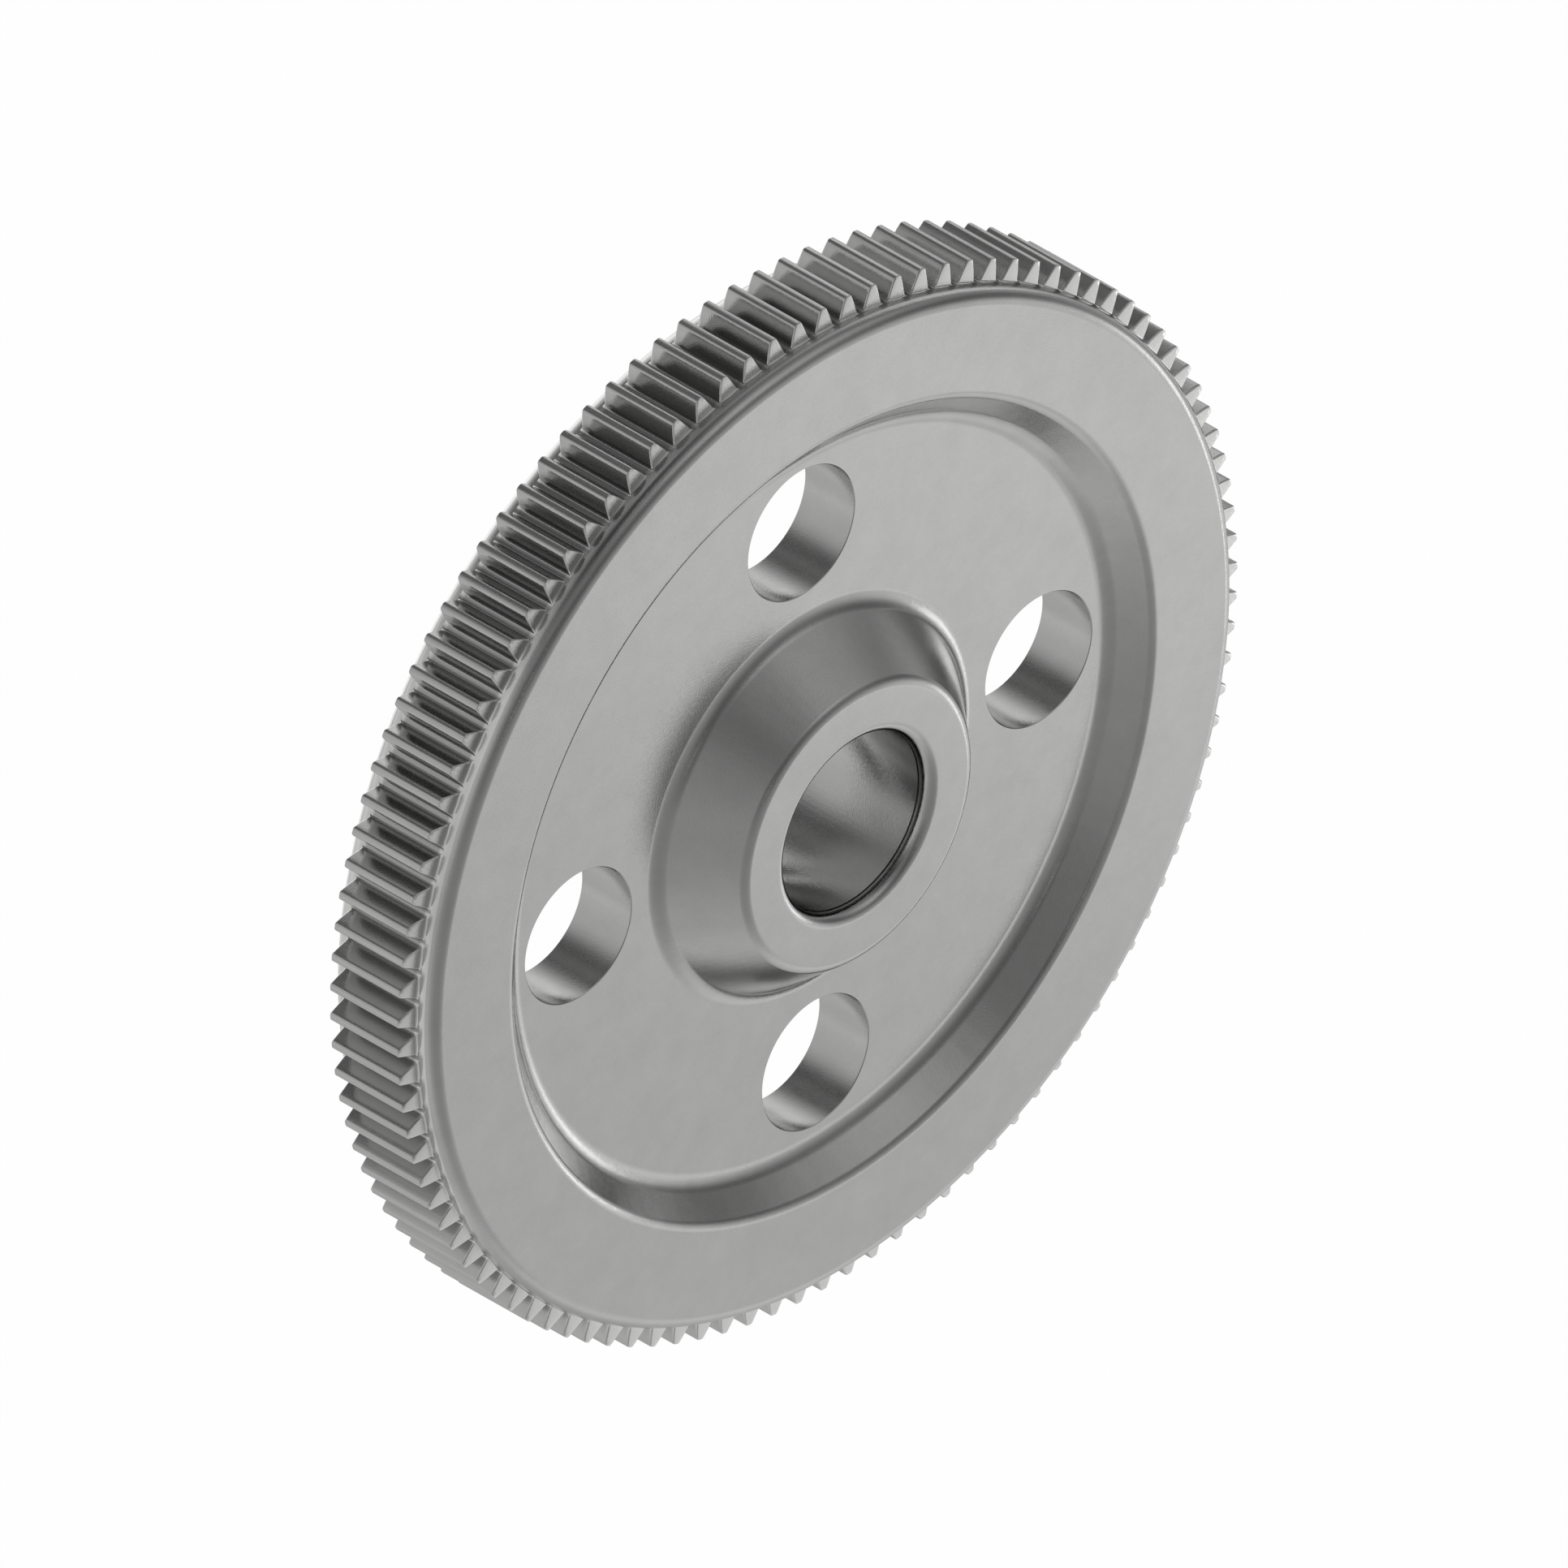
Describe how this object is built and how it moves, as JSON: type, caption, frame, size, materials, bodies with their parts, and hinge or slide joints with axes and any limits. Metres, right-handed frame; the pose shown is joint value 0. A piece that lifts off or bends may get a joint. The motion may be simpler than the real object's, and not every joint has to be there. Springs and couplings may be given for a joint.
{
  "type": "gear wheel",
  "caption": "Spur gear wheel with a dished web, round lightening holes, a tapered hub on one side and a plain bore.",
  "frame": {"origin": "centre of the wheel's back face, on the axis of the bore", "axes": "+Z along the axis, from the flat back face towards the tapered hub; +X through a gap between two teeth and the middle of a lightening hole"},
  "size_m": [0.214, 0.214, 0.0319],
  "materials": {
    "steel": "satin light grey steel, faintly cloudy on the flat faces and softly rounded at the edges"
  },
  "bodies": {
    "root": {"gear_wheel": "steel"}
  },
  "joints": []
}
